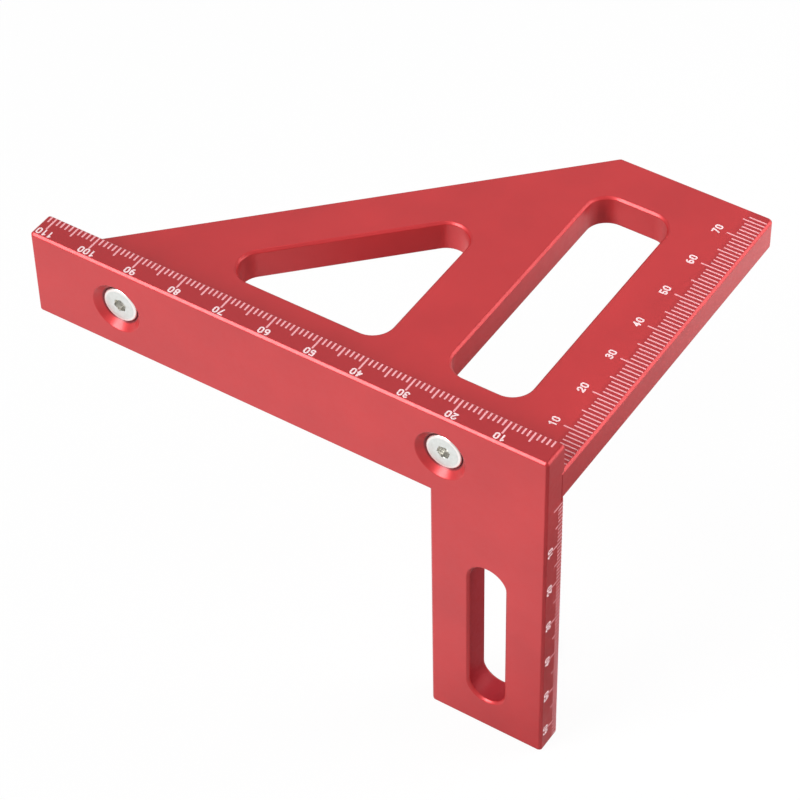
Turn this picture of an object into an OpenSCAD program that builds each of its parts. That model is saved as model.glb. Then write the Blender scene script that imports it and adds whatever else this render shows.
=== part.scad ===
// Rigid mitre ruler: a triangle plate let into the back of an L-shaped front plate, with two screws.
// Millimetres. X runs along the front plate, Y goes back over the work and Z is up.
// The origin is where the rear face of the front plate meets the underside of the triangle plate,
// at the zero of the front scale: the inner corner that sits on the edge of the work.

/* [Front plate] */
// Length of the arm
fence_length = 113; // [106:0.5:150]
// Height of the arm
arm_height = 20; // [17:0.1:30]
// Thickness of the front plate
fence_thickness = 6.2; // [5.4:0.1:9]
// Width of the leg that hangs from the right end of the arm
leg_width = 24.6; // [18:0.2:40]
// Height from the foot of the leg to the top of the arm
total_height = 79.5; // [68:0.5:120]
// Depth of the groove that takes the front end of the triangle plate
groove_depth = 1.2; // [0.9:0.1:1.8]
// Distance from the right end faces to the zero of the front scale
scale_start = 0.8; // [0:0.1:2]
// Radius of the outer corners
fence_corner_radius = 0.8; // [0.75:0.05:2]

/* [Triangle plate] */
// Thickness of the triangle plate
plate_thickness = 7; // [6:0.1:10]
// Depth of the triangle plate, from its end in the groove to its rear edge
plate_depth = 78.5; // [66:0.5:85]
// Distance from the left end of the arm to the left tip of the triangle plate
tip_inset = 1; // [0.5:0.1:6]
// Angle between the front plate and the slanting edge
mitre_angle = 45; // [43:0.5:50]
// Radius of the two rear corners
plate_corner_radius = 1.2; // [0.75:0.05:3]
// Chamfer on the upright edge of the end in the groove
end_chamfer = 0.3; // [0.1:0.05:0.6]
// Amount by which that end is thinner, on each of its two sides
end_relief = 0.05; // [0.02:0.01:0.2]

/* [Windows] */
// Width of the strip between the front plate and the windows
front_rib = 10; // [9.5:0.1:14]
// Least width of the strip along the rear edge
rear_rib = 10.8; // [6:0.1:16]
// Width of the strip along the slanting edge
mitre_rib = 10.6; // [6:0.1:14]
// Width of the strip that carries the scale, along the right side
scale_rib = 15.3; // [9:0.1:18]
// Width of the strip between the two windows
middle_rib = 13.4; // [6:0.1:16]
// Width of the long window
long_window_width = 16.7; // [11:0.1:20]
// Corner radius of both windows
window_radius = 4.5; // [2:0.1:5]

/* [Slot in the leg] */
// Width of the slot
slot_width = 7.8; // [5:0.1:12]
// Length of the slot over its round ends
slot_length = 37; // [20:0.5:40]
// Distance from the foot of the leg to the slot
foot_rib = 7.6; // [5:0.1:12]

/* [Edges] */
// Width of the 45 degree bevel on every long edge
bevel = 0.5; // [0.2:0.05:0.7]

/* [Screws] */
// Distance from the right end of the arm to the right screw
right_screw_inset = 22.2; // [10:0.1:26]
// Distance from the left end of the arm to the left screw
left_screw_inset = 19.3; // [17:0.1:30]
// Diameter of the threaded shanks
screw_d = 4; // [3:0.1:5]
// Length of each screw, head included
screw_length = 10; // [8:0.5:11]
// Diameter of the flat heads
head_d = 7.6; // [6.4:0.1:8.8]
// Height of the short cylinder round the edge of a head
head_rim = 0.5; // [0.35:0.05:0.7]
// Depth of a head's flat face below the front face of the arm
head_recess = 1.1; // [0:0.1:1.6]
// Width across the flats of the hexagon sockets
socket_width = 2.5; // [2:0.1:3.2]
// Depth of the hexagon sockets
socket_depth = 1.5; // [1:0.1:1.8]
// Radial play of a screw in its thread and of its head in the conical recess
screw_play = 0.05; // [0.02:0.01:0.1]
// Radial play of a shank in the hole through the front plate
shank_play = 0.2; // [0.1:0.05:0.5]
// Length of threaded hole that stays free past the end of a screw
thread_spare = 1.5; // [0.5:0.1:2]

/* [Hidden] */
$fn = 64;

// Anodised aluminium of both plates, and plated steel of the screws
ANODISED_RED = [0.72, 0.17, 0.19];
SCREW_STEEL = [0.83, 0.84, 0.82];
// How far a cut runs past the face that it opens
overrun = 1;
// How far a round corner stands proud of its straight walls, so that the two cross and don't just touch
lap = 0.002;
// Half of the angle at the point of the drill that made the threaded holes
drill_half_angle = 59;
// Bevels round the face of a head and round the free end of a shank
rim_bevel = 0.3;
shank_bevel = 0.5;

right_x = scale_start;
left_x = right_x - fence_length;
plate_left_x = left_x + tip_inset;
rear_y = plate_depth - groove_depth;
mid_z = plate_thickness / 2;
arm_top_z = mid_z + arm_height / 2;
arm_base_z = mid_z - arm_height / 2;
foot_z = arm_top_z - total_height;
leg_left_x = right_x - leg_width;

// The recess and the head have the same 45 degree slope, so a step in depth is a step in radius.
countersink_r = head_d / 2 + head_rim + head_recess;
shank_hole_r = screw_d / 2 + shank_play;
screw_start_y = head_recess - fence_thickness;
left_screw_x = left_x + left_screw_inset;
right_screw_x = right_x - right_screw_inset;

// Places at distance d inside the slanting edge: the Y that goes with an X, and the X that goes with a Y
function slant_y(x, d) = ((x - plate_left_x) * sin(mitre_angle) - d) / cos(mitre_angle) - groove_depth;
function slant_x(y, d) = plate_left_x + (d + (y + groove_depth) * cos(mitre_angle)) / sin(mitre_angle);

long_right_x = right_x - scale_rib;
long_left_x = long_right_x - long_window_width;
triangle_right_x = long_left_x - middle_rib;
// The long window ends at the rear strip, or where its round corner reaches the strip on the slant.
long_corner_y = slant_y(long_left_x + window_radius, mitre_rib + window_radius);
long_rear_y = min(rear_y - rear_rib, long_corner_y + window_radius);

// Corner of a convex outline, moved inwards to the centre of a circle of radius r in that corner
function unit(v) = v / norm(v);
function inset_corner(before, corner, after, r) =
    let (a = unit(before - corner), b = unit(after - corner), half = acos(a * b) / 2)
    corner + unit(a + b) * r / sin(half);
function inset_outline(outline, r) =
    let (n = len(outline))
    [for (i = [0 : n - 1]) inset_corner(outline[(i + n - 1) % n], outline[i], outline[(i + 1) % n], r)];

// One storey of a slab: round corners about the given centres, and walls that lean from r0 out to r1
module storey(centres, r0, r1, z0, z1) {
    n = len(centres);
    height = z1 - z0;
    inner = min(r0, r1);
    if (n > 2)
        translate([0, 0, z0])
            linear_extrude(height)
                polygon(centres);
    for (i = [0 : n - 1]) {
        run = centres[(i + 1) % n] - centres[i];
        translate([centres[i][0], centres[i][1], z0]) {
            cylinder(h = height, r1 = r0 + lap, r2 = r1 + lap);
            rotate([0, 0, atan2(run[1], run[0])])
                rotate([90, 0, 90])
                    linear_extrude(norm(run))
                        polygon([[inner, 0], [-r0, 0], [-r1, height], [inner, height]]);
        }
    }
}

// Plate with round corners and bevelled edges
module slab(outline, thickness, r) {
    centres = inset_outline(outline, r);
    storey(centres, r - bevel, r, 0, bevel);
    storey(centres, r, r, bevel, thickness - bevel);
    storey(centres, r, r - bevel, thickness - bevel, thickness);
}

// Space of a window or slot, flared by the bevel where it opens in the two faces
module opening_space(centres, r, thickness) {
    flare = bevel + overrun;
    storey(centres, r + flare, r, -overrun, bevel);
    storey(centres, r, r, bevel, thickness - bevel);
    storey(centres, r, r + flare, thickness - bevel, thickness + overrun);
}

// Blind hole for the thread of one screw, from the front end of the plate inwards
module threaded_hole(x) {
    depth = screw_start_y + screw_length + thread_spare + groove_depth + overrun;
    hole_r = screw_d / 2;
    translate([x, -groove_depth - overrun, mid_z])
        rotate([-90, 0, 0]) {
            cylinder(h = depth, r = hole_r);
            translate([0, 0, depth])
                cylinder(h = hole_r / tan(drill_half_angle), r1 = hole_r, r2 = 0);
        }
}

// Hole and conical recess for one screw, from the front face of the front plate
module countersunk_hole(x) {
    translate([x, -fence_thickness, mid_z])
        rotate([-90, 0, 0]) {
            cylinder(h = fence_thickness + overrun, r = shank_hole_r);
            translate([0, 0, -overrun])
                cylinder(
                    h = countersink_r - shank_hole_r + overrun,
                    r1 = countersink_r + overrun,
                    r2 = shank_hole_r
                );
        }
}

// Flat-headed socket screw, with its head in the conical recess and its shank in the plate
module screw(x) {
    head_r = head_d / 2 - screw_play;
    shank_r = screw_d / 2 - screw_play;
    color(SCREW_STEEL)
        translate([x, screw_start_y, mid_z])
            rotate([-90, 0, 0])
                difference() {
                    rotate_extrude()
                        polygon([
                            [0, 0],
                            [head_r - rim_bevel, 0],
                            [head_r, rim_bevel],
                            [head_r, head_rim],
                            [shank_r, head_rim + head_r - shank_r],
                            [shank_r, screw_length - shank_bevel],
                            [shank_r - shank_bevel, screw_length],
                            [0, screw_length]
                        ]);
                    translate([0, 0, -overrun])
                        cylinder(h = socket_depth + overrun, d = socket_width / cos(30), $fn = 6);
                }
}

// Triangle plate: two windows, a square-cut end for the groove, and two threaded holes in that end
module triangle_plate() {
    // The slab starts further forward, so that its round front corners are cut off with the stock.
    stock_y = -groove_depth - 2 * plate_corner_radius;
    stock_x = slant_x(stock_y, 0);
    cut_width = right_x - stock_x + 2 * overrun;
    outline = [
        [stock_x, stock_y],
        [right_x, stock_y],
        [right_x, rear_y],
        [slant_x(rear_y, 0), rear_y]
    ];
    long_window = [
        [long_left_x, front_rib],
        [long_right_x, front_rib],
        [long_right_x, long_rear_y],
        [long_left_x, long_rear_y]
    ];
    triangle_window = [
        [slant_x(front_rib, mitre_rib), front_rib],
        [triangle_right_x, front_rib],
        [triangle_right_x, slant_y(triangle_right_x, mitre_rib)]
    ];
    color(ANODISED_RED)
        difference() {
            slab(outline, plate_thickness, plate_corner_radius);
            for (window = [long_window, triangle_window])
                opening_space(inset_outline(window, window_radius), window_radius, plate_thickness);
            translate([stock_x - overrun, stock_y - overrun, -overrun])
                cube([cut_width, -groove_depth - stock_y + overrun, plate_thickness + 2 * overrun]);
            for (z = [end_relief - overrun, plate_thickness - end_relief])
                translate([stock_x - overrun, stock_y - overrun, z])
                    cube([cut_width, overrun - stock_y, overrun]);
            translate([right_x, -groove_depth, -overrun])
                linear_extrude(plate_thickness + 2 * overrun)
                    polygon([
                        [-end_chamfer - overrun, -overrun],
                        [overrun, -overrun],
                        [overrun, end_chamfer + overrun]
                    ]);
            for (x = [left_screw_x, right_screw_x])
                threaded_hole(x);
        }
}

// L-shaped front plate: the arm, the leg with its slot, the groove and the screw holes
module fence_plate() {
    arm = [
        [left_x, arm_base_z],
        [right_x, arm_base_z],
        [right_x, arm_top_z],
        [left_x, arm_top_z]
    ];
    leg = [
        [leg_left_x, foot_z],
        [right_x, foot_z],
        [right_x, arm_top_z],
        [leg_left_x, arm_top_z]
    ];
    slot_x = right_x - leg_width / 2;
    slot_ends = [
        [slot_x, foot_z + foot_rib + slot_width / 2],
        [slot_x, foot_z + foot_rib + slot_length - slot_width / 2]
    ];
    color(ANODISED_RED)
        difference() {
            rotate([90, 0, 0])
                for (outline = [arm, leg])
                    slab(outline, fence_thickness, fence_corner_radius);
            rotate([90, 0, 0])
                opening_space(slot_ends, slot_width / 2, fence_thickness);
            translate([left_x - overrun, -groove_depth, 0])
                cube([fence_length + 2 * overrun, groove_depth + overrun, plate_thickness]);
            for (x = [left_screw_x, right_screw_x])
                countersunk_hole(x);
        }
}

module left_screw() {
    screw(left_screw_x);
}

module right_screw() {
    screw(right_screw_x);
}

triangle_plate();
fence_plate();
left_screw();
right_screw();
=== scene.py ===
"""Visual model of the mitre ruler: dyed plates, engraved scales, socket screws and a pale studio."""

import logging
import math
from collections.abc import Callable, Iterator
from contextlib import contextmanager
from dataclasses import dataclass, field
from enum import Enum

import bmesh
import bpy
from mathutils import Matrix, Vector


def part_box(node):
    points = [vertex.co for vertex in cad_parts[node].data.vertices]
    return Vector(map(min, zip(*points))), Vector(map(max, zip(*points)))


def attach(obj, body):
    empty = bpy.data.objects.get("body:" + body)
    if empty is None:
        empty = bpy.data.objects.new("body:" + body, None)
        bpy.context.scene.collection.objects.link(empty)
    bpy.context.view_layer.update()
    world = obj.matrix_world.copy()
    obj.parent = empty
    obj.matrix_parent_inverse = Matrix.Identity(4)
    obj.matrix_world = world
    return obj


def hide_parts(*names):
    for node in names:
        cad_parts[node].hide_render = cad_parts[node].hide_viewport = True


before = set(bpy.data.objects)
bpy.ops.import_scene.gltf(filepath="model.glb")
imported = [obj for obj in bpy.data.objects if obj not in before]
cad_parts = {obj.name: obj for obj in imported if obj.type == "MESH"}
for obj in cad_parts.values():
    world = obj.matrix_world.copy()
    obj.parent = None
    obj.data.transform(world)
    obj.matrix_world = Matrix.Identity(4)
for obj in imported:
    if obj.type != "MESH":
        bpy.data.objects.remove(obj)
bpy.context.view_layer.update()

LOG = logging.getLogger("mitre_ruler")
MM = 0.001
BODY = "root"
WHITE = (1, 1, 1, 1)
# Places closer than this, in metres, count as the same.
SAME = 1e-7
# A slanting direction, along which hardly any two points of a digit lie level.
SORT_WAY = Vector((1.0, 0.618, 0.325))
# Width of one ring of Blender's wave pattern at a scale of 1.
WAVE_PERIOD = math.tau / 20

Triple = tuple[float, float, float]
Piece = bpy.types.Object
Socket = bpy.types.NodeSocket


class Rank(Enum):
    """How long a graduation is drawn."""

    ONE = 1
    FIVE = 5
    TEN = 10

    @classmethod
    def of(cls, number: int) -> "Rank":
        """Find the rank of a graduation.

        Args:
            number: The graduation's number.

        Returns:
            The highest rank that divides the number.
        """
        if number % cls.TEN.value == 0:
            return cls.TEN
        return cls.FIVE if number % cls.FIVE.value == 0 else cls.ONE


class Reading(Enum):
    """Whether the numbers of a scale grow along its lettering or against it."""

    WITH_LETTERING = 1
    AGAINST_LETTERING = -1


class Wiring:
    """A node tree, built node by node."""

    def __init__(self, tree: bpy.types.NodeTree) -> None:
        """Start with a tree, which loses the nodes it has."""
        self.tree = tree
        self.tree.nodes.clear()

    def feed(self, target: Socket, source: object) -> None:
        """Wire a socket to another one, or set its value.

        Args:
            target: The input socket.
            source: An output socket, or a value.
        """
        if isinstance(source, Socket):
            self.tree.links.new(source, target)
        else:
            target.default_value = source

    def add(self, kind: str, settings: dict[str, str] | None = None, **values: object) -> bpy.types.Node:
        """Add one node.

        Args:
            kind: Blender's name for the node type.
            settings: The node's own properties.
            values: Values or sockets, by the input's name with underscores for spaces.

        Returns:
            The new node.
        """
        node = self.tree.nodes.new(kind)
        for name, value in (settings or {}).items():
            setattr(node, name, value)
        for name, value in values.items():
            self.feed(node.inputs[name.replace("_", " ")], value)
        return node

    def work_out(self, operation: str, *terms: object) -> Socket:
        """Do one step of arithmetic.

        Args:
            operation: Blender's name for the step.
            terms: Numbers or sockets.

        Returns:
            The result's socket.
        """
        node = self.add("ShaderNodeMath", {"operation": operation})
        for target, term in zip(node.inputs, terms):
            self.feed(target, term)
        return node.outputs[0]

    def work_out_vector(self, operation: str, first: Socket, second: Triple = (0, 0, 0)) -> Socket:
        """Do one step of arithmetic with vectors.

        Args:
            operation: Blender's name for the step.
            first: A vector socket.
            second: The other vector, where the step takes two.

        Returns:
            The result's socket.
        """
        node = self.add("ShaderNodeVectorMath", {"operation": operation})
        self.feed(node.inputs[0], first)
        self.feed(node.inputs[1], second)
        return node.outputs["Value" if operation in ("LENGTH", "DOT_PRODUCT") else "Vector"]

    def mix(self, factor: Socket, first: bpy.types.Node, second: bpy.types.Node) -> bpy.types.Node:
        """Mix two shaders by a factor.

        Args:
            factor: 0 gives the first shader and 1 the second.
            first: A shader's node.
            second: A shader's node.

        Returns:
            The node that mixes them.
        """
        node = self.add("ShaderNodeMixShader")
        for target, source in zip(node.inputs, (factor, first.outputs[0], second.outputs[0])):
            self.feed(target, source)
        return node


class Shader(Wiring):
    """A material, built node by node on Object coordinates."""

    def __init__(self, name: str) -> None:
        """Start a material with nothing but its output.

        Args:
            name: Name of the material.
        """
        self.material = bpy.data.materials.new(name)
        self.material.use_nodes = True
        super().__init__(self.material.node_tree)
        self.output = self.add("ShaderNodeOutputMaterial")

    def place(self, centre: Triple = (0, 0, 0)) -> Socket:
        """Give Object coordinates, moved by a Mapping node.

        Args:
            centre: Point that becomes the pattern's centre.

        Returns:
            The vector socket.
        """
        coords = self.add("ShaderNodeTexCoord").outputs["Object"]
        shift = [-value for value in centre]
        return self.add("ShaderNodeMapping", Vector=coords, Location=shift).outputs["Vector"]

    def axes(self, place: Socket) -> Iterator[Socket]:
        """Give the X, Y and Z of coordinates."""
        return iter(self.add("ShaderNodeSeparateXYZ", Vector=place).outputs)

    def radius(self, place: Socket) -> Socket:
        """Give the distance from the Y axis of coordinates."""
        return self.work_out_vector("LENGTH", self.work_out_vector("MULTIPLY", place, (1, 0, 1)))

    def within(self, low: Vector, high: Vector, fade: float) -> Socket:
        """Tell the inside of a box from the outside.

        Args:
            low: Lower corner of the box.
            high: Upper corner of the box.
            fade: How far inside the box the factor reaches 1.

        Returns:
            The factor socket, 1 inside the box and 0 outside it.
        """
        away = self.work_out_vector("ABSOLUTE", self.place((low + high) / 2))
        past = self.work_out_vector("SUBTRACT", away, (high - low) / 2)
        x, y, z = self.axes(past)
        return self.spread(self.work_out("MAXIMUM", self.work_out("MAXIMUM", x, y), z), 1, 0, -fade, 0)

    def noise(self, place: Socket, grain: float, detail: float) -> Socket:
        """Make noise from 0 to 1, with spots as wide as the grain and octaves of finer detail."""
        return self.add("ShaderNodeTexNoise", Vector=place, Scale=1 / grain, Detail=detail).outputs["Fac"]

    def spread(
        self, source: Socket, low: float, high: float, start: float = 0.3, end: float = 0.7
    ) -> Socket:
        """Stretch a range of values to another range, and hold its ends beyond it.

        Args:
            source: The value.
            low: Result at the start of the value's range.
            high: Result at its end.
            start: Start of the value's range. Most of a noise lies between the two defaults.
            end: End of the value's range.

        Returns:
            The result's socket.
        """
        return self.add(
            "ShaderNodeMapRange", Value=source, From_Min=start, From_Max=end, To_Min=low, To_Max=high
        ).outputs["Result"]

    def blend(self, factor: Socket, first: Socket | Triple, second: Triple) -> Socket:
        """Blend two linear colours by a factor.

        Args:
            factor: 0 gives the first colour and 1 the second.
            first: A colour, or the socket of one.
            second: A colour.

        Returns:
            The colour socket.
        """
        start = first if isinstance(first, Socket) else (*first, 1)
        node = self.add("ShaderNodeMix", {"data_type": "RGBA"}, Factor=factor, A=start, B=(*second, 1))
        return node.outputs["Result"]

    def bump(self, height: Socket, depth: float) -> Socket:
        """Turn a height from 0 to 1 into a bump of this depth in metres."""
        return self.add("ShaderNodeBump", Height=height, Strength=1.0, Distance=depth).outputs["Normal"]

    def finish(self, surface: bpy.types.Node) -> bpy.types.Material:
        """Put a shader's node on the output, and give the finished material."""
        self.feed(self.output.inputs["Surface"], surface.outputs[0])
        return self.material

    def principled(self, **values: object) -> bpy.types.Material:
        """Finish the material with a Principled shader that has these values or sockets."""
        return self.finish(self.add("ShaderNodeBsdfPrincipled", **values))


@dataclass(frozen=True)
class AnodisedFinish:
    """Bead-blasted aluminium with a red dyed, sealed oxide layer.

    Painted shade darkens a ring round each of the `screw_axes`, where the screw head meets its countersink,
    and the top face to the right of a given X and above a given Z. Inside the `pocket`, a box, painted
    shade darkens the dye, and the finish is also rougher with a thinner seal.
    """

    name: str
    screw_axes: tuple[Triple, ...] = ()
    lapped_from: tuple[float, float] | None = None
    pocket: tuple[Vector, Vector] | None = None
    pocket_fade: float = 0.06 * MM
    pocket_rough: float = 0.2
    pocket_seal: float = 0.1
    # Painted shade colour inside the pocket.
    dye_pocket: Triple = (0.42, 0.022, 0.033)
    dye_deep: Triple = (0.51, 0.021, 0.026)
    dye_light: Triple = (0.62, 0.029, 0.034)
    # Painted shade colours: a ring round each screw head, then the top face.
    dye_pooled: Triple = (0.17, 0.009, 0.016)
    dye_lapped: Triple = (0.42, 0.012, 0.018)
    lapped_share: float = 0.75
    lapped_fade: float = 0.8 * MM
    lapped_skin: float = 0.05 * MM
    pool_inner: float = 4.05 * MM
    pool_outer: float = 4.3 * MM
    pool_depth: float = 1.5 * MM
    pool_fade: float = 0.3 * MM
    metal: float = 0.5
    cloud_size: float = 16 * MM
    cloud_share: float = 0.65
    mottle_size: float = 1.1 * MM
    mottle_share: float = 0.35
    blast_size: float = 0.16 * MM
    blast_depth: float = 0.005 * MM
    rough_low: float = 0.40
    rough_high: float = 0.50
    seal_weight: float = 0.5
    seal_roughness: float = 0.30

    def make(self) -> bpy.types.Material:
        """Build the material.

        Returns:
            The finished material.
        """
        shader = Shader(self.name)
        place = shader.place()
        mottle = shader.noise(place, self.mottle_size, detail=3)
        clouds = shader.spread(shader.noise(place, self.cloud_size, detail=3), 0, self.cloud_share)
        tone = shader.work_out("MULTIPLY_ADD", mottle, self.mottle_share, clouds)
        colour = shader.blend(tone, self.dye_deep, self.dye_light)
        # Painted shade: a dark ring in the countersink round each screw head.
        for axis in self.screw_axes:
            around = shader.place(axis)
            _, depth, _ = shader.axes(around)
            ring_shade = shader.work_out(
                "MULTIPLY",
                shader.spread(shader.radius(around), 1, 0, self.pool_inner, self.pool_outer),
                shader.spread(depth, 1, 0, self.pool_depth, self.pool_depth + self.pool_fade),
            )
            colour = shader.blend(ring_shade, colour, self.dye_pooled)
        # Painted shade: the top face is dyed darker, all of the fence's top and a band along the triangle
        # plate's scale.
        if self.lapped_from is not None:
            left, floor = self.lapped_from
            across, _, height = shader.axes(place)
            top_shade = shader.work_out(
                "MULTIPLY",
                shader.spread(across, 0, self.lapped_share, left, left + self.lapped_fade),
                shader.spread(height, 0, 1, floor - self.lapped_skin, floor),
            )
            colour = shader.blend(top_shade, colour, self.dye_lapped)
        rough = shader.spread(mottle, self.rough_low, self.rough_high)
        seal = self.seal_weight
        # Painted shade: the dye is darker inside the pocket; the rougher, thinner seal there is the finish's
        # own.
        if self.pocket is not None:
            inside = shader.within(*self.pocket, self.pocket_fade)
            colour = shader.blend(inside, colour, self.dye_pocket)
            seal = shader.spread(inside, self.seal_weight, self.pocket_seal, 0, 1)
            rough = shader.work_out("MULTIPLY_ADD", inside, self.pocket_rough, rough)
        return shader.principled(
            Base_Color=colour,
            Metallic=self.metal,
            Roughness=rough,
            Coat_Weight=seal,
            Coat_Roughness=self.seal_roughness,
            Normal=shader.bump(shader.noise(place, self.blast_size, detail=1), self.blast_depth),
        )


@dataclass(frozen=True)
class EngravingFinish:
    """Oxide layer bleached by a laser: chalky, pale, and a little uneven."""

    name: str
    pale: Triple = (0.85, 0.44, 0.47)
    thin: Triple = (0.75, 0.30, 0.33)
    speck_size: float = 0.12 * MM
    speck_depth: float = 0.003 * MM
    roughness: float = 0.7

    def make(self) -> bpy.types.Material:
        """Build the material.

        Returns:
            The finished material.
        """
        shader = Shader(self.name)
        specks = shader.noise(shader.place(), self.speck_size, detail=2)
        return shader.principled(
            Base_Color=shader.blend(shader.spread(specks, 0, 1), self.pale, self.thin),
            Roughness=self.roughness,
            Normal=shader.bump(specks, self.speck_depth),
        )


@dataclass(frozen=True)
class PlatedSteelFinish:
    """Bright zinc plating over a turned head, with faint rings round the screw's axis, a painted highlight
    all round the rim of the head, and painted shade in the socket.
    """

    name: str
    axis: Triple
    bright: Triple = (0.84, 0.86, 0.84)
    dull: Triple = (0.76, 0.78, 0.75)
    # Painted highlight colour for the rim of the head.
    polished: Triple = (1.0, 0.95, 0.92)
    # Painted shade colour inside the socket.
    grimy: Triple = (0.71, 0.70, 0.66)
    rim_start: float = 3.1 * MM
    rim_end: float = 3.2 * MM
    socket_inner: float = 1.666 * MM
    socket_outer: float = 1.7 * MM
    socket_fade: float = 0.05 * MM
    ring_pitch: float = 0.3015929 * MM
    ring_wobble: float = 0.6
    ring_depth: float = 0.003 * MM
    cloud_size: float = 0.9 * MM
    rough_low: float = 0.30
    rough_high: float = 0.44

    def make(self) -> bpy.types.Material:
        """Build the material.

        Returns:
            The finished material.
        """
        shader = Shader(self.name)
        place = shader.place(self.axis)
        radius = shader.radius(place)
        _, depth, _ = shader.axes(place)
        clouds = shader.noise(place, self.cloud_size, detail=3)
        rings = shader.add(
            "ShaderNodeTexWave",
            {"wave_type": "RINGS", "rings_direction": "Y"},
            Vector=place,
            Scale=WAVE_PERIOD / self.ring_pitch,
            Distortion=self.ring_wobble,
            Detail=1.0,
        ).outputs["Fac"]
        colour = shader.blend(shader.spread(clouds, 0, 1), self.bright, self.dull)
        # Painted highlight: the rim of the head is coloured bright all round.
        rim_highlight = shader.spread(radius, 0, 1, self.rim_start, self.rim_end)
        colour = shader.blend(rim_highlight, colour, self.polished)
        # Painted shade: the socket is coloured darker below its mouth.
        socket_shade = shader.work_out(
            "MULTIPLY",
            shader.spread(radius, 1, 0, self.socket_inner, self.socket_outer),
            shader.spread(depth, 0, 1, 0, self.socket_fade),
        )
        return shader.principled(
            Base_Color=shader.blend(socket_shade, colour, self.grimy),
            Metallic=1.0,
            Roughness=shader.spread(clouds, self.rough_low, self.rough_high),
            Normal=shader.bump(rings, self.ring_depth),
        )


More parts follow.
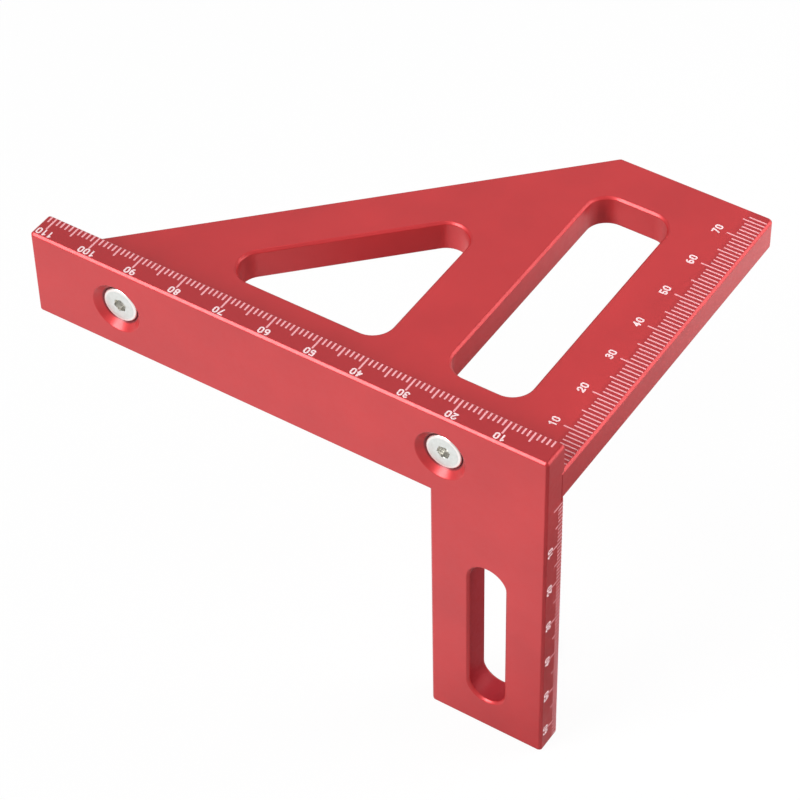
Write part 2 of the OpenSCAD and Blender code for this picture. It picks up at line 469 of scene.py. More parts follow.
class Bench:
    """Modelling moves that work without a window."""

    @staticmethod
    def clear() -> None:
        """Leave edit mode and deselect everything."""
        if bpy.context.object and bpy.context.object.mode != "OBJECT":
            bpy.ops.object.mode_set(mode="OBJECT")
        bpy.ops.object.select_all(action="DESELECT")

    @staticmethod
    def take(*pieces: Piece) -> None:
        """Select some pieces alone.

        Args:
            pieces: The pieces, of which the first becomes the active one.
        """
        Bench.clear()
        for piece in pieces:
            piece.select_set(True)
        bpy.context.view_layer.objects.active = pieces[0]

    @staticmethod
    def start(primitive: Callable[..., set], **settings: object) -> Piece:
        """Add a primitive at its size and place.

        Args:
            primitive: Blender's operator that adds it.
            settings: What the operator takes.

        Returns:
            The new piece, with its place and turn in its mesh.
        """
        Bench.clear()
        primitive(**settings)
        Bench.settle(bpy.context.object)
        return bpy.context.object

    @staticmethod
    @contextmanager
    def editing(piece: Piece, mode: str = "FACE", action: str = "DESELECT") -> Iterator[None]:
        """Edit a piece's mesh.

        Args:
            piece: The piece to edit.
            mode: What is selected: VERT, EDGE or FACE.
            action: DESELECT or SELECT, to start with nothing or with everything selected.

        Yields:
            Nothing, while the piece is in edit mode.
        """
        Bench.take(piece)
        bpy.ops.object.mode_set(mode="EDIT")
        bpy.ops.mesh.select_mode(type=mode)
        bpy.ops.mesh.select_all(action=action)
        yield
        bpy.ops.object.mode_set(mode="OBJECT")

    @staticmethod
    def pick(piece: Piece, kind: str, test: Callable[..., bool]) -> None:
        """Select the elements of a mesh that pass a test, and nothing else.

        Args:
            piece: The piece in edit mode.
            kind: verts, edges or faces.
            test: Takes an element of that kind.
        """
        bpy.ops.mesh.select_all(action="DESELECT")
        mesh = bmesh.from_edit_mesh(piece.data)
        for element in filter(test, getattr(mesh, kind)):
            element.select_set(True)
        mesh.select_flush_mode()
        bmesh.update_edit_mesh(piece.data)

    @staticmethod
    def pick_edges(piece: Piece, test: Callable[[Vector, Vector], bool]) -> None:
        """Select the edges whose two ends pass a test."""
        Bench.pick(piece, "edges", lambda edge: test(edge.verts[0].co, edge.verts[1].co))

    @staticmethod
    def pick_points(piece: Piece, test: Callable[[Vector], bool]) -> None:
        """Select the points whose place passes a test."""
        Bench.pick(piece, "verts", lambda point: test(point.co))

    @staticmethod
    def bevel(piece: Piece, kind: str, test: Callable[..., bool], width: float, segments: int = 2) -> None:
        """Bevel the edges or the points that pass a test.

        Args:
            piece: The piece, which isn't in edit mode.
            kind: EDGES or VERTICES.
            test: Takes the two ends of an edge, or the place of a point.
            width: Width of the bevel.
            segments: Number of its steps.
        """
        mode, pick = ("EDGE", Bench.pick_edges) if kind == "EDGES" else ("VERT", Bench.pick_points)
        with Bench.editing(piece, mode):
            pick(piece, test)
            bpy.ops.mesh.bevel(affect=kind, offset=width, segments=segments)

    @staticmethod
    def sort(piece: Piece) -> None:
        """Put a mesh's elements in the order of their places, which fusing leaves to chance.

        Args:
            piece: The piece in edit mode.
        """
        mesh = bmesh.from_edit_mesh(piece.data)
        mesh.verts.sort(key=lambda point: point.co.dot(SORT_WAY))
        mesh.edges.sort(key=lambda edge: (edge.verts[0].co + edge.verts[1].co).dot(SORT_WAY))
        mesh.faces.sort(key=lambda face: face.calc_center_median().dot(SORT_WAY))
        bmesh.update_edit_mesh(piece.data)

    @staticmethod
    def push(distance: Vector | Triple) -> None:
        """Extrude what is selected by this much."""
        bpy.ops.mesh.extrude_region_move(TRANSFORM_OT_translate={"value": distance})

    @staticmethod
    def face_out() -> None:
        """Turn every face of the mesh in edit mode outwards."""
        bpy.ops.mesh.select_all(action="SELECT")
        bpy.ops.mesh.normals_make_consistent(inside=False)

    @staticmethod
    def thicken(piece: Piece, thickness: float) -> None:
        """Make a solid of a flat piece, half above its plane and half below.

        Args:
            piece: The flat piece, whose doubles are merged first.
            thickness: Thickness of the solid.
        """
        with Bench.editing(piece, action="SELECT"):
            bpy.ops.mesh.remove_doubles(threshold=SAME)
            bpy.ops.transform.translate(value=(0, 0, -thickness / 2))
            Bench.push((0, 0, thickness))
            Bench.face_out()

    @staticmethod
    def settle(piece: Piece) -> None:
        """Put a piece's place, turn and size into its mesh."""
        Bench.take(piece)
        bpy.ops.object.transform_apply(location=True, rotation=True, scale=True)

    @staticmethod
    def copy(piece: Piece, place: Matrix) -> Piece:
        """Copy a piece with its own mesh.

        Args:
            piece: The piece to copy.
            place: Where the copy goes.

        Returns:
            The copy, with its place in its mesh.
        """
        twin = piece.copy()
        twin.data = piece.data.copy()
        twin.data.transform(place)
        bpy.context.scene.collection.objects.link(twin)
        return twin

    @staticmethod
    def join(pieces: list[Piece], name: str) -> Piece:
        """Join pieces to one.

        Args:
            pieces: The pieces, which become one.
            name: Name of the joined piece.

        Returns:
            The joined piece.
        """
        Bench.take(*pieces)
        bpy.ops.object.join()
        pieces[0].name = name
        pieces[0].data.name = name
        return pieces[0]

    @staticmethod
    def drop(*pieces: Piece) -> None:
        """Delete patterns and cutters that have served."""
        Bench.take(*pieces)
        bpy.ops.object.delete()

    @staticmethod
    def cut(piece: Piece, tool: Piece, operation: str = "DIFFERENCE") -> None:
        """Cut a tool out of a piece, or fuse it on with UNION, and delete the tool."""
        Bench.apply(piece, "BOOLEAN", operation=operation, solver="EXACT", object=tool)
        Bench.drop(tool)

    @staticmethod
    def apply(piece: Piece, kind: str, **settings: object) -> None:
        """Add one modifier and apply it.

        Args:
            piece: The piece that it changes.
            kind: Blender's name for the modifier type.
            settings: The modifier's own properties.
        """
        modifier = piece.modifiers.new(kind.lower(), kind)
        for name, value in settings.items():
            setattr(modifier, name, value)
        Bench.take(piece)
        bpy.ops.object.modifier_apply(modifier=modifier.name)

    @staticmethod
    def smooth(piece: Piece, angle: float) -> None:
        """Shade a piece smoothly, apart from edges sharper than this angle in radians."""
        Bench.take(piece)
        bpy.ops.object.shade_smooth_by_angle(angle=angle)

    @staticmethod
    def finish(piece: Piece, material: bpy.types.Material, slot: str | None = None) -> None:
        """Give a piece its material and its body, and report it.

        Args:
            piece: The finished piece.
            material: Its material.
            slot: Not used.
        """
        piece.data.materials.clear()
        piece.data.materials.append(material)
        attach(piece, BODY)
        LOG.info("%s: %d faces", piece.name, len(piece.data.polygons))


@dataclass
class DigitSet:
    """Single-stroke numerals, each modelled once as a thin inlay that lies in the XY plane."""

    height: float = 1.66 * MM
    width: float = 1.08 * MM
    pen: float = 0.32 * MM
    pen_roundness: float = 0.62
    advance: float = 1.26 * MM
    thickness: float = 0.04 * MM
    sliver: float = 0.001 * MM
    ring_sides: int = 24
    quarter_steps: float = 4.2
    patterns: dict[str, Piece] = field(default_factory=dict)

    def ring(self, x: float, y: float, radius: float, stretch: float = 0.0) -> Piece:
        """Draw a closed round or oblong loop.

        Args:
            x: Centre of the lower round end.
            y: Centre of the lower round end.
            radius: Radius to the centre of the stroke.
            stretch: How much taller than round the loop is.

        Returns:
            The flat loop.
        """
        loop = Bench.start(
            bpy.ops.mesh.primitive_circle_add, vertices=self.ring_sides, radius=radius + self.pen / 2,
            fill_type="NGON", location=(x, y, 0),
        )
        if stretch:
            with Bench.editing(loop, "VERT"):
                Bench.pick_points(loop, lambda point: point.y > y - SAME)
                bpy.ops.transform.translate(value=(0, stretch, 0))
        with Bench.editing(loop, action="SELECT"):
            bpy.ops.mesh.inset(thickness=self.pen)
            bpy.ops.mesh.delete(type="FACE")
        return loop

    def stroke(self, x: float, y: float, heading: float, course: list[tuple[float, float]]) -> Piece:
        """Draw an open stroke with round ends, pushed along straights and swung round arcs.

        Args:
            x: Start of the stroke's centre.
            y: Start of the stroke's centre.
            heading: Direction in which it starts, in degrees from +X.
            course: Legs of the course. (length, 0) is a straight, and (radius, angle) is an arc, in degrees,
                which turns left where the angle is positive.

        Returns:
            The flat stroke.
        """
        half, start = self.pen / 2, math.radians(heading)
        ahead = Vector((math.cos(start), math.sin(start), 0))
        place = Vector((x, y, 0))
        tail, back = place, -ahead
        ribbon = Bench.start(
            bpy.ops.mesh.primitive_plane_add, size=self.pen, location=place, rotation=(0, 0, start)
        )
        with Bench.editing(ribbon, "EDGE"):
            Bench.pick_edges(
                ribbon, lambda a, b: (a - place).dot(ahead) > 0 and (b - place).dot(ahead) > 0
            )
            bpy.ops.transform.translate(value=-ahead * half)
            for size, angle in course:
                if angle == 0:
                    place = place + ahead * size
                    Bench.push(ahead * size)
                    continue
                left = Vector((-ahead.y, ahead.x, 0))
                centre = place + left * math.copysign(size, angle)
                turn = math.radians(angle)
                # Without a window, spin turns clockwise about the axis for a positive angle.
                bpy.ops.mesh.spin(
                    steps=max(2, round(abs(angle) / 90 * self.quarter_steps)),
                    angle=-turn, center=centre, axis=(0, 0, 1),
                )
                swing = Matrix.Rotation(turn, 3, "Z")
                place = centre + swing @ (place - centre)
                ahead = swing @ ahead
            Bench.push(ahead * half)

        def at_end(point: Vector, end: Vector, way: Vector) -> bool:
            """Whether a point lies on the square end of the stroke."""
            return abs((point - end).dot(way) - half) < SAME and (point - end).length < self.pen

        Bench.bevel(
            ribbon, "VERTICES", lambda point: at_end(point, place, ahead) or at_end(point, tail, back),
            width=half * self.pen_roundness,
        )
        return ribbon

    def bowl(self, x: float, y: float, radius: float, start: float, sweep: float) -> Piece:
        """Draw an open arc.

        Args:
            x: Centre of the arc.
            y: Centre of the arc.
            radius: Radius to the centre of the stroke.
            start: Where on its circle the arc starts, in degrees from +X.
            sweep: How far it turns, in degrees, clockwise where it is negative.

        Returns:
            The flat arc.
        """
        begin = math.radians(start)
        heading = start + math.copysign(90, sweep)
        return self.stroke(
            x + radius * math.cos(begin), y + radius * math.sin(begin), heading, [(radius, sweep)]
        )

    def keep(self, name: str, digit: Piece) -> None:
        """Keep a digit as the pattern for its copies."""
        digit.name = f"digit_{name}"
        self.patterns[name] = digit

    def solid(self, name: str, parts: list[Piece]) -> None:
        """Give flat strokes their thickness, fuse them to one digit and keep it.

        Args:
            name: The digit.
            parts: Its flat loops and strokes.
        """
        for part in parts:
            Bench.thicken(part, self.thickness)
        first, *others = parts
        for other in others:
            Bench.cut(first, other, "UNION")
        with Bench.editing(first):
            Bench.sort(first)
            bpy.ops.mesh.select_all(action="SELECT")
            bpy.ops.mesh.remove_doubles(threshold=self.sliver)
            bpy.ops.mesh.select_all(action="SELECT")
            bpy.ops.mesh.delete_loose()
        self.keep(name, first)

    def draw(self) -> None:
        """Model the ten digits by the course of the pen's centre, which leaves its width all round."""
        w, h = self.width - self.pen, self.height - self.pen
        a = w / 2
        small, large = 0.235 * h, 0.265 * h
        self.solid("0", [self.ring(a, a, a, h - 2 * a)])
        stem, flag = 0.62 * w, 0.55 * w
        self.solid("1", [self.stroke(stem, 0, 90, [(h, 0)]), self.stroke(stem, h, 217, [(flag, 0)])])
        lean = math.degrees(2 * math.atan(a / (h - a)))
        self.solid("2", [
            self.stroke(0, h - a, 90, [(a, -180 - lean), (h - a, 0)]),
            self.stroke(0, 0, 0, [(w, 0)]),
        ])
        self.solid("3", [
            self.bowl(w - small, h - small, small, start=155, sweep=-245),
            self.bowl(w - large, large, large, start=98, sweep=-253),
        ])
        foot, bar, overhang = 0.74 * w, 0.32 * h, 0.02 * w
        fall = 0.985 * h - bar
        slope = math.degrees(math.atan2(fall, foot))
        self.solid("4", [
            self.stroke(foot, 0, 90, [(h, 0)]),
            self.stroke(foot, bar + fall, 180 + slope, [(math.hypot(foot, fall), 0)]),
            self.stroke(-overhang, bar, 0, [(w + overhang, 0)]),
        ])
        left, roof, wall = 0.12 * w, 0.82 * w, 0.48 * h
        self.solid("5", [
            self.stroke(left + roof, h, 180, [(roof, 0)]),
            self.stroke(left, h, 266, [(wall, 0)]),
            self.bowl(w - large, large, large, start=140, sweep=-290),
        ])
        curl = 1.25 * a
        self.solid("6", [self.ring(a, a, a), self.stroke(0, a, 90, [(h - a - curl, 0), (curl, -78)])])
        step = 0.66 * w
        slope = math.degrees(math.atan2(h, step))
        self.solid("7", [
            self.stroke(0, h, 0, [(w, 0)]),
            self.stroke(w, h, 180 + slope, [(math.hypot(h, step), 0)]),
        ])
        belly = 1.03 * large
        self.solid("8", [self.ring(a, belly, belly), self.ring(a, h - small, small)])
        # The nine is the six turned half round.
        half_turn = Matrix.Translation((w, h, 0)) @ Matrix.Rotation(math.pi, 4, "Z")
        self.keep("9", Bench.copy(self.patterns["6"], half_turn))

    def half_width(self, text: str) -> float:
        """Half the width of a number."""
        return (self.advance * (len(text) - 1) + self.width) / 2

    def write(self, text: str, place: Matrix) -> list[Piece]:
        """Set a number from copies of the digits.

        Args:
            text: The number.
            place: Frame of the number, whose origin is the middle of its base line.

        Returns:
            One piece for each digit.
        """
        start, base = self.pen / 2 - self.half_width(text), self.pen / 2
        return [
            Bench.copy(
                self.patterns[digit], place @ Matrix.Translation((start + index * self.advance, base, 0))
            )
            for index, digit in enumerate(text)
        ]


@dataclass
class EngravedScale:
    """One millimetre scale on one face: its lines and its numbers.

    The lettering runs along `along`, and `inward` leads from the edge of the face to the numbers. The
    three `lengths` are those of the lines for one, five and ten. Each number stands `number_shift` short
    of its line, and none passes `number_end`.
    """

    name: str
    zero: Vector
    along: Vector
    inward: Vector
    reading: Reading
    first: int
    last: int
    lengths: Triple
    number_base: float
    digits: DigitSet
    root: float = 0.5 * MM
    line: float = 0.26 * MM
    line_roundness: float = 0.3
    number_shift: float = 0.0
    number_end: float = math.inf
    thickness: float = 0.04 * MM

    @property
    def ground(self) -> Matrix:
        """Frame of the scale, whose origin is its zero on the edge of the face."""
        turn = Matrix((self.along, self.inward, self.along.cross(self.inward))).transposed().to_4x4()
        return Matrix.Translation(self.zero) @ turn

    def line_pattern(self, length: float) -> Piece:
        """Model one line as a thin inlay with a round free end.

        Args:
            length: Distance from the edge of the face to the free end.

        Returns:
            The line, which runs along +Y from its root.
        """
        middle = self.root + self.line / 2
        pattern = Bench.start(bpy.ops.mesh.primitive_plane_add, size=self.line, location=(0, middle, 0))
        with Bench.editing(pattern, "EDGE"):
            Bench.pick_edges(pattern, lambda a, b: min(a.y, b.y) > middle)
            bpy.ops.transform.translate(value=(0, length - self.root - self.line, 0))
        Bench.bevel(
            pattern, "VERTICES", lambda point: point.y > length - self.line / 2,
            width=self.line * self.line_roundness,
        )
        Bench.thicken(pattern, self.thickness)
        return pattern

    def lines(self) -> Piece:
        """Copy the three patterns to every graduation and join them.

        Returns:
            The lines, as one piece.
        """
        patterns = {rank: self.line_pattern(length) for rank, length in zip(Rank, self.lengths)}
        copies = []
        for number in range(self.first, self.last + 1):
            spot = Matrix.Translation((self.reading.value * number * MM, 0, 0))
            copies.append(Bench.copy(patterns[Rank.of(number)], self.ground @ spot))
        Bench.drop(*patterns.values())
        return Bench.join(copies, f"{self.name}_lines")

    def numbers(self) -> Piece:
        """Set a number at every tenth graduation, clear of the end, and join them.

        Returns:
            The numbers, as one piece.
        """
        pieces = []
        step = Rank.TEN.value
        for number in range(step, self.last + 1, step):
            text = str(number)
            centre = min(number * MM - self.number_shift, self.number_end - self.digits.half_width(text))
            spot = Matrix.Translation((self.reading.value * centre, self.number_base, 0))
            pieces += self.digits.write(text, self.ground @ spot)
        return Bench.join(pieces, f"{self.name}_numbers")

    def build(self, line_material: bpy.types.Material, number_material: bpy.types.Material) -> None:
        """Build and dress the lines and the numbers."""
        Bench.finish(self.lines(), line_material)
        Bench.finish(self.numbers(), number_material)


@dataclass
class SocketScrew:
    """Flat-headed hexagon socket screw: turned head, socket with a drill point, and its shank."""

    node: str
    socket_turn: float
    rim_bevel: float = 0.2 * MM
    rim_wear: float = 0.07 * MM
    rim_height: float = 0.5 * MM
    shank_radius: float = 1.95 * MM
    shank_chamfer: float = 0.5 * MM
    socket_width: float = 2.5 * MM
    socket_depth: float = 1.5 * MM
    socket_wear: float = 0.08 * MM
    mouth: float = 0.03 * MM
    mouth_reach: float = 1.0 * MM
    mouth_wear: float = 0.02 * MM
    drill_radius: float = 0.85 * MM
    drill_land: float = 0.15 * MM
    drill_point: float = 0.5 * MM
    drill_tip_share: float = 0.06
    head_sides: int = 96
    mouth_sides: int = 48
    drill_sides: int = 32
    smooth_angle: float = math.radians(32)

    def turned(self, sides: int, radius: float, steps: list[tuple[float, float]]) -> Piece:
        """Turn a solid from a disc at Z 0, along +Z.

        Args:
            sides: Number of its sides.
            radius: Radius of the disc.
            steps: Depth and radius at the end of each further step.

        Returns:
            The turned solid.
        """
        depth = 0.0
        solid = Bench.start(
            bpy.ops.mesh.primitive_circle_add, vertices=sides, radius=radius, fill_type="NGON"
        )
        with Bench.editing(solid, action="SELECT"):
            for next_depth, next_radius in steps:
                Bench.push((0, 0, next_depth - depth))
                ratio = next_radius / radius
                bpy.ops.transform.resize(value=(ratio, ratio, 1), center_override=(0, 0, next_depth))
                depth, radius = next_depth, next_radius
            Bench.face_out()
        return solid

    def blank(self, radius: float, length: float) -> Piece:
        """Turn the head and the shank, and wear the rim of the head.

        Args:
            radius: Radius of the head.
            length: Whole length.

        Returns:
            The blank, along +Z.
        """
        shank = self.shank_radius
        blank = self.turned(self.head_sides, radius - self.rim_bevel, [
            (self.rim_bevel, radius),
            (self.rim_height, radius),
            (self.rim_height + radius - shank, shank),
            (length - self.shank_chamfer, shank),
            (length, shank - self.shank_chamfer),
        ])
        Bench.bevel(
            blank, "EDGES", lambda a, b: max(a.z, b.z) < self.rim_bevel + SAME and abs(a.z - b.z) < SAME,
            width=self.rim_wear, segments=3,
        )
        return blank

    def drill_tool(self) -> Piece:
        """Model the drill whose point leaves a round cone under the socket.

        Returns:
            The cutter, along +Z.
        """
        radius, land = self.drill_radius, self.socket_depth + self.drill_land
        tip = (land + self.drill_point, radius * self.drill_tip_share)
        return self.turned(self.drill_sides, radius, [(land, radius), tip])

    def socket_tool(self) -> Piece:
        """Model the hexagonal punch, with its lower edge a little worn.

        Returns:
            The cutter, along +Z.
        """
        tool = Bench.start(
            bpy.ops.mesh.primitive_cylinder_add, vertices=6, depth=self.socket_depth * 2,
            radius=self.socket_width / 2 / math.cos(math.pi / 6), rotation=(0, 0, self.socket_turn),
        )
        Bench.bevel(tool, "EDGES", lambda a, b: min(a.z, b.z) > 0, width=self.socket_wear)
        return tool

    def mouth_tool(self) -> Piece:
        """Model the cone that breaks the edge of the socket a little past its flats.

        Returns:
            The cutter, along +Z.
        """
        width, reach = self.socket_width / 2 + self.mouth, self.mouth_reach
        tool = Bench.start(
            bpy.ops.mesh.primitive_cone_add, vertices=self.mouth_sides, radius1=width + reach,
            radius2=width - reach, depth=reach * 2,
        )
        Bench.bevel(tool, "EDGES", lambda a, b: min(a.z, b.z) > 0, width=self.mouth_wear, segments=1)
        return tool

    def build(self) -> None:
        """Build the screw in its node's place and dress it."""
        low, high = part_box(self.node)
        centre = (low + high) / 2
        head = Vector((centre.x, low.y, centre.z))
        screw = self.blank((high.x - low.x) / 2, high.y - low.y)
        for tool in (self.socket_tool(), self.drill_tool(), self.mouth_tool()):
            Bench.cut(screw, tool)
        screw.name = f"{self.node}_detailed"
        screw.data.name = screw.name
        screw.matrix_world = Matrix.Translation(head) @ Matrix.Rotation(-math.pi / 2, 4, "X")
        Bench.settle(screw)
        Bench.smooth(screw, self.smooth_angle)
        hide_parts(self.node)
        Bench.finish(screw, PlatedSteelFinish(f"{self.node}_steel", tuple(head)).make(), "screw_steel")


@dataclass(frozen=True)
class Zone:
    """Box, in millimetres, that goes on for ever where a side isn't given."""

    low: Triple = (-math.inf, -math.inf, -math.inf)
    high: Triple = (math.inf, math.inf, math.inf)

    def holds(self, point: Vector) -> bool:
        """Whether a point lies inside."""
        return all(low * MM < value < high * MM for low, value, high in zip(self.low, point, self.high))


@dataclass
class SoftenedPlate:
    """A machined plate with its sharp edges broken, as blasting leaves them before the dye bath.

    Edges in the hidden zones, such as the joint and the threaded holes, stay sharp.
    """

    node: str
    finish: AnodisedFinish
    hidden: tuple[Zone, ...]
    merge: float = 0.006 * MM
    speck: float = 0.001 * MM
    flat_angle: float = math.radians(0.8)
    edge_break: float = 0.13 * MM
    sharp_angle: float = math.radians(25)
    split_angle: float = math.radians(1)
    smooth_angle: float = math.radians(40)

    def is_hidden(self, edge: bmesh.types.BMEdge) -> bool:
        """Whether both ends of an edge are out of sight."""
        return all(any(zone.holds(point.co) for zone in self.hidden) for point in edge.verts)

    def build(self) -> None:
        """Build the plate from a merged copy of its node and dress it."""
        plate = bpy.data.objects.new(f"{self.node}_softened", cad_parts[self.node].data.copy())
        bpy.context.scene.collection.objects.link(plate)
        with Bench.editing(plate, action="SELECT"):
            bpy.ops.mesh.customdata_custom_splitnormals_clear()
            bpy.ops.mesh.remove_doubles(threshold=self.merge)
            bpy.ops.mesh.dissolve_degenerate(threshold=self.speck)
            bpy.ops.mesh.dissolve_limited(angle_limit=self.flat_angle)
        with Bench.editing(plate, "EDGE"):
            bpy.ops.mesh.edges_select_sharp(sharpness=self.sharp_angle)
            mesh = bmesh.from_edit_mesh(plate.data)
            for edge in mesh.edges:
                if edge.select and self.is_hidden(edge):
                    edge.select_set(False)
            bmesh.update_edit_mesh(plate.data)
            bpy.ops.transform.edge_bevelweight(value=1)
        Bench.apply(
            plate, "BEVEL", width=self.edge_break, segments=2, limit_method="WEIGHT", use_clamp_overlap=False,
            face_strength_mode="FSTR_AFFECTED",
        )
        # The renderer draws a faint line along a long, thin triangle, so the flat faces are split evenly.
        with Bench.editing(plate):
            bpy.ops.mesh.select_face_by_sides(number=4, type="GREATER")
            bpy.ops.mesh.quads_convert_to_tris(ngon_method="BEAUTY")
            bpy.ops.mesh.beautify_fill(angle_limit=self.split_angle)
        Bench.smooth(plate, self.smooth_angle)
        Bench.apply(plate, "WEIGHTED_NORMAL", keep_sharp=True, use_face_influence=True)
        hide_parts(self.node)
        Bench.finish(plate, self.finish.make(), "anodised")


@dataclass
class MitreRuler:
    """The whole ruler: two plates from the CAD, their scales and the two screws."""

    # The band along the triangle plate's scale gets painted shade.
    tick_band: float = 5.0 * MM
    tick_share: float = 0.6
    skin: float = 0.05 * MM
    overrun: float = 1.0 * MM
    slot_low: Triple = (-15.5 * MM, -5.6 * MM, -58.5 * MM)
    slot_high: Triple = (-7.5 * MM, -0.6 * MM, -21.3 * MM)
    groove_tongue: Zone = Zone(high=(math.inf, -0.3, math.inf))
    plate_threads: Zone = Zone(low=(-math.inf, -math.inf, 1.2), high=(-1.0, 9.0, 5.8))
    fence_groove: Zone = Zone(low=(-math.inf, -1.3, -0.1), high=(math.inf, math.inf, 7.1))
    fence_holes: Zone = Zone(low=(-math.inf, -4.5, 0.5), high=(-5.0, math.inf, 6.5))
    plate_scale_zero: float = -0.9 * MM
    leg_scale_zero: float = -0.8 * MM
    digits: DigitSet = field(default_factory=DigitSet)
    engraving: EngravingFinish = EngravingFinish("laser_mark")
    lettering: EngravingFinish = EngravingFinish(
        "laser_number", pale=(0.88, 0.71, 0.73), thin=(0.83, 0.58, 0.60)
    )

    def build_plates(self) -> None:
        """Build the two plates, with painted shade round the two screws."""
        boxes = [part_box(node) for node in ("left_screw", "right_screw")]
        low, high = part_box("fence_plate")
        fence_finish = AnodisedFinish(
            "anodised_fence",
            screw_axes=tuple(((a.x + b.x) / 2, a.y, (a.z + b.z) / 2) for a, b in boxes),
            lapped_from=(low.x - self.overrun, high.z - self.skin),
            pocket=(Vector(self.slot_low), Vector(self.slot_high)),
        )
        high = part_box("triangle_plate")[1]
        plate_finish = AnodisedFinish(
            "anodised_triangle",
            lapped_from=(high.x - self.tick_band, high.z - self.skin),
            lapped_share=self.tick_share,
        )
        SoftenedPlate("triangle_plate", plate_finish, (self.groove_tongue, self.plate_threads)).build()
        SoftenedPlate("fence_plate", fence_finish, (self.fence_groove, self.fence_holes)).build()

    def scales(self) -> list[EngravedScale]:
        """Lay out the three scales from the boxes of the two plates.

        Returns:
            The scales of the front plate's arm, the triangle plate and the leg.
        """
        plate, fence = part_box("triangle_plate")[1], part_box("fence_plate")[1]
        x, y, z = Matrix.Identity(3)
        return [
            EngravedScale(
                "fence_scale", Vector((0, fence.y, fence.z)), -x, -y, Reading.WITH_LETTERING,
                first=1, last=111, lengths=(2.1 * MM, 3.05 * MM, 3.85 * MM), number_base=3.92 * MM,
                digits=self.digits, line=0.36 * MM, number_shift=0.12 * MM, number_end=111.45 * MM,
            ),
            EngravedScale(
                "plate_scale", Vector((plate.x, self.plate_scale_zero, plate.z)), y, -x,
                Reading.WITH_LETTERING, first=1, last=76, lengths=(4.2 * MM, 5.05 * MM, 5.8 * MM),
                number_base=6.95 * MM, digits=self.digits, line=0.29 * MM,
            ),
            EngravedScale(
                "leg_scale", Vector((fence.x, fence.y, self.leg_scale_zero)), z, -y,
                Reading.AGAINST_LETTERING, first=0, last=64, lengths=(2.1 * MM, 3.0 * MM, 3.7 * MM),
                number_base=3.75 * MM, digits=self.digits,
            ),
        ]

    def build(self) -> None:
        """Build and dress every piece."""
        self.build_plates()
        line_material, number_material = self.engraving.make(), self.lettering.make()
        self.digits.draw()
        for scale in self.scales():
            scale.build(line_material, number_material)
        Bench.drop(*self.digits.patterns.values())
        SocketScrew("left_screw", socket_turn=0.2).build()
        SocketScrew("right_screw", socket_turn=0.35).build()


@dataclass(frozen=True)
class SoftBox:
    """One large, soft studio lamp that points at the ruler.

    Azimuth 0 is in front of the ruler and 90 on its right, in degrees. `mirrored` tells whether glossy
    surfaces show the lamp.
    """

    name: str
    azimuth: float
    elevation: float
    distance: float
    side: float
    power: float
    mirrored: bool = True

    def place(self, target: Vector) -> None:
        """Hang the lamp round the target.

        Args:
            target: Point at which the lamp looks.
        """
        turn, lift = math.radians(self.azimuth), math.radians(self.elevation)
        away = Vector((math.sin(turn) * math.cos(lift), -math.cos(turn) * math.cos(lift), math.sin(lift)))
        data = bpy.data.lights.new(self.name, "AREA")
        data.shape, data.size, data.energy = "SQUARE", self.side, self.power
        lamp = bpy.data.objects.new(self.name, data)
        lamp.visible_glossy = self.mirrored
        lamp.location = target + away * self.distance
        lamp.rotation_euler = away.to_track_quat("Z", "Y").to_euler()
        bpy.context.scene.collection.objects.link(lamp)
        LOG.info("%s: %.1f W", self.name, self.power)


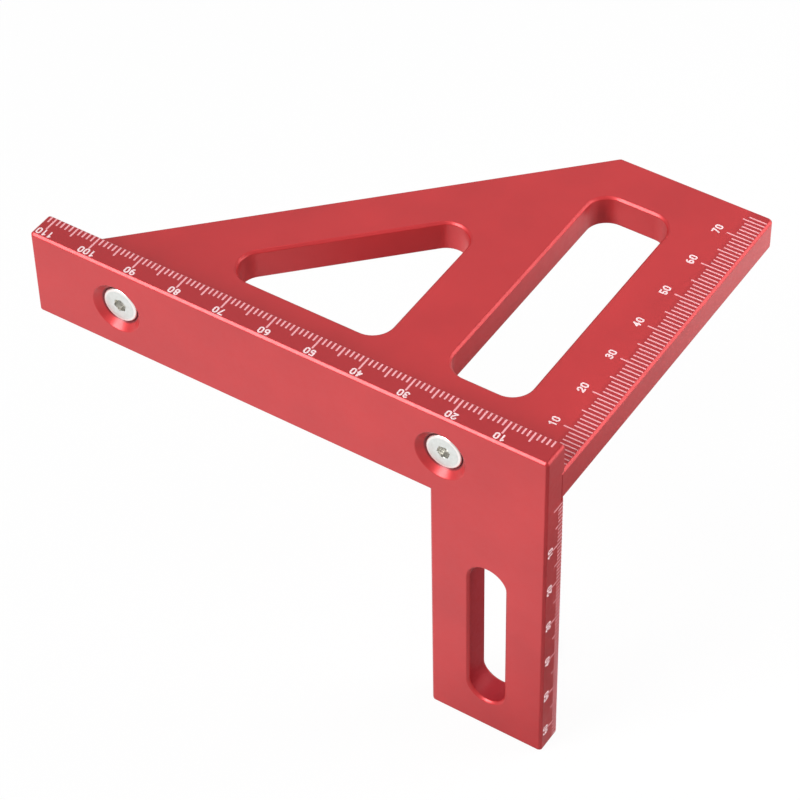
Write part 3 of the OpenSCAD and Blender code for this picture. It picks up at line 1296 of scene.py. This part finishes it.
@dataclass
class Studio:
    """White floor, even surroundings, soft lamps and the camera of the photograph."""

    azimuth: float = 33.80
    elevation: float = 45.29
    roll: float = 1.234
    distance: float = 572.5 * MM
    aim: Vector = field(default_factory=lambda: Vector((-36.97, 4.71, 0)) * MM)
    lens: float = 141.196
    sensor: float = 36.0
    clip: tuple[float, float] = (0.01, 20.0)
    floor_size: float = 6.0
    floor_gap: float = 0.05 * MM
    paper: tuple[float, float, float, float] = (0.86, 0.86, 0.86, 1)
    seen_share: float = 0.95
    front_level: float = 1.0
    # Level of the painted shadow that reflections show on the floor near the ruler.
    near_level: float = 0.2
    far_level: float = 1.0
    front_fade: tuple[float, float] = (-10 * MM, 40 * MM)
    far_fade: tuple[float, float] = (-140 * MM, -70 * MM)
    front_way: Triple = (-0.6, -0.8, 0)
    world_level: float = 0.28
    sky_level: float = 0.35
    lamps: tuple[SoftBox, ...] = (
        SoftBox("key_front_left", -29, 37, 1.1, 0.55, 11.6),
        SoftBox("edge_back_right", 128, 22, 0.27, 0.16, 0.34, mirrored=False),
        SoftBox("edge_glint", 128, 22, 0.26, 0.16, 0.18),
        SoftBox("soft_back_left", -150, 45, 1.2, 0.6, 0.4),
        SoftBox("top_soft", -60, 80, 1.2, 0.7, 1.6),
    )

    def camera(self) -> None:
        """Set up the camera at the photograph's viewing angle."""
        turn, lift, roll = (math.radians(value) for value in (self.azimuth, self.elevation, self.roll))
        ahead = Vector((-math.sin(turn) * math.cos(lift), math.cos(turn) * math.cos(lift), -math.sin(lift)))
        level = Vector((math.cos(turn), math.sin(turn), 0))
        rise = level.cross(ahead)
        right = level * math.cos(roll) - rise * math.sin(roll)
        up = rise * math.cos(roll) + level * math.sin(roll)
        data = bpy.data.cameras.new("camera")
        data.lens, data.sensor_width, data.sensor_fit = self.lens, self.sensor, "HORIZONTAL"
        data.clip_start, data.clip_end = self.clip
        camera = bpy.data.objects.new("camera", data)
        turned = Matrix((right, up, -ahead)).transposed().to_4x4()
        camera.matrix_world = Matrix.Translation(self.aim - ahead * self.distance) @ turned
        bpy.context.scene.collection.objects.link(camera)
        bpy.context.scene.camera = camera

    def floor_material(self) -> bpy.types.Material:
        """Make a floor that is seen as plain white, with a faint shadow, and is clear from below.

        Glossy surfaces mirror it at full strength in front of the ruler and far behind it, and dimmer
        between, which is a painted shadow of the ruler that only reflections show.

        Returns:
            The finished material.
        """
        shader = Shader("studio_floor")
        path = shader.add("ShaderNodeLightPath").outputs
        mirrored = shader.work_out("MAXIMUM", path["Is Glossy Ray"], path["Is Transmission Ray"])
        # Painted shadow: mirrored rays see the floor dimmer near and just behind the ruler.
        ahead = shader.work_out_vector("DOT_PRODUCT", shader.place(), self.front_way)
        front = shader.spread(ahead, self.near_level - 1, self.front_level - 1, *self.front_fade)
        far = shader.spread(ahead, self.far_level - self.near_level, 0, *self.far_fade)
        level = shader.work_out("MULTIPLY_ADD", mirrored, shader.work_out("ADD", front, far), 1.0)
        share = shader.work_out("MULTIPLY_ADD", path["Is Camera Ray"], self.seen_share, mirrored)
        above = shader.mix(
            share,
            shader.add("ShaderNodeBsdfDiffuse", Color=self.paper),
            shader.add("ShaderNodeEmission", Color=WHITE, Strength=level),
        )
        below = shader.add("ShaderNodeNewGeometry").outputs["Backfacing"]
        return shader.finish(shader.mix(below, above, shader.add("ShaderNodeBsdfTransparent")))

    def floor(self) -> None:
        """Lay the floor under the foot of the leg."""
        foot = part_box("fence_plate")[0].z
        sheet = Bench.start(
            bpy.ops.mesh.primitive_plane_add, size=self.floor_size, location=(0, 0, foot - self.floor_gap)
        )
        sheet.name = "studio_floor"
        sheet.data.materials.append(self.floor_material())

    def world(self) -> None:
        """Light the room evenly, show it as white, and mirror it dimmer than it is seen."""
        world = bpy.data.worlds.new("studio_world")
        world.use_nodes = True
        wiring = Wiring(world.node_tree)
        path = wiring.add("ShaderNodeLightPath").outputs
        clear = wiring.work_out("MAXIMUM", path["Is Camera Ray"], path["Is Transmission Ray"])
        share = wiring.work_out("MULTIPLY_ADD", path["Is Glossy Ray"], self.sky_level, clear)
        lit = wiring.add("ShaderNodeBackground", Color=WHITE, Strength=self.world_level)
        seen = wiring.add("ShaderNodeBackground", Color=WHITE, Strength=1.0)
        wiring.add("ShaderNodeOutputWorld", Surface=wiring.mix(share, lit, seen).outputs[0])
        bpy.context.scene.world = world

    def build(self) -> None:
        """Set up the whole studio."""
        bpy.context.scene.view_settings.view_transform = "Standard"
        self.camera()
        self.floor()
        self.world()
        for lamp in self.lamps:
            lamp.place(self.aim)


def main() -> None:
    """Build the ruler and its studio, and report each piece."""
    logging.basicConfig(level=logging.INFO, format="%(name)s: %(message)s")
    MitreRuler().build()
    Studio().build()


if __name__ == "__main__":
    main()
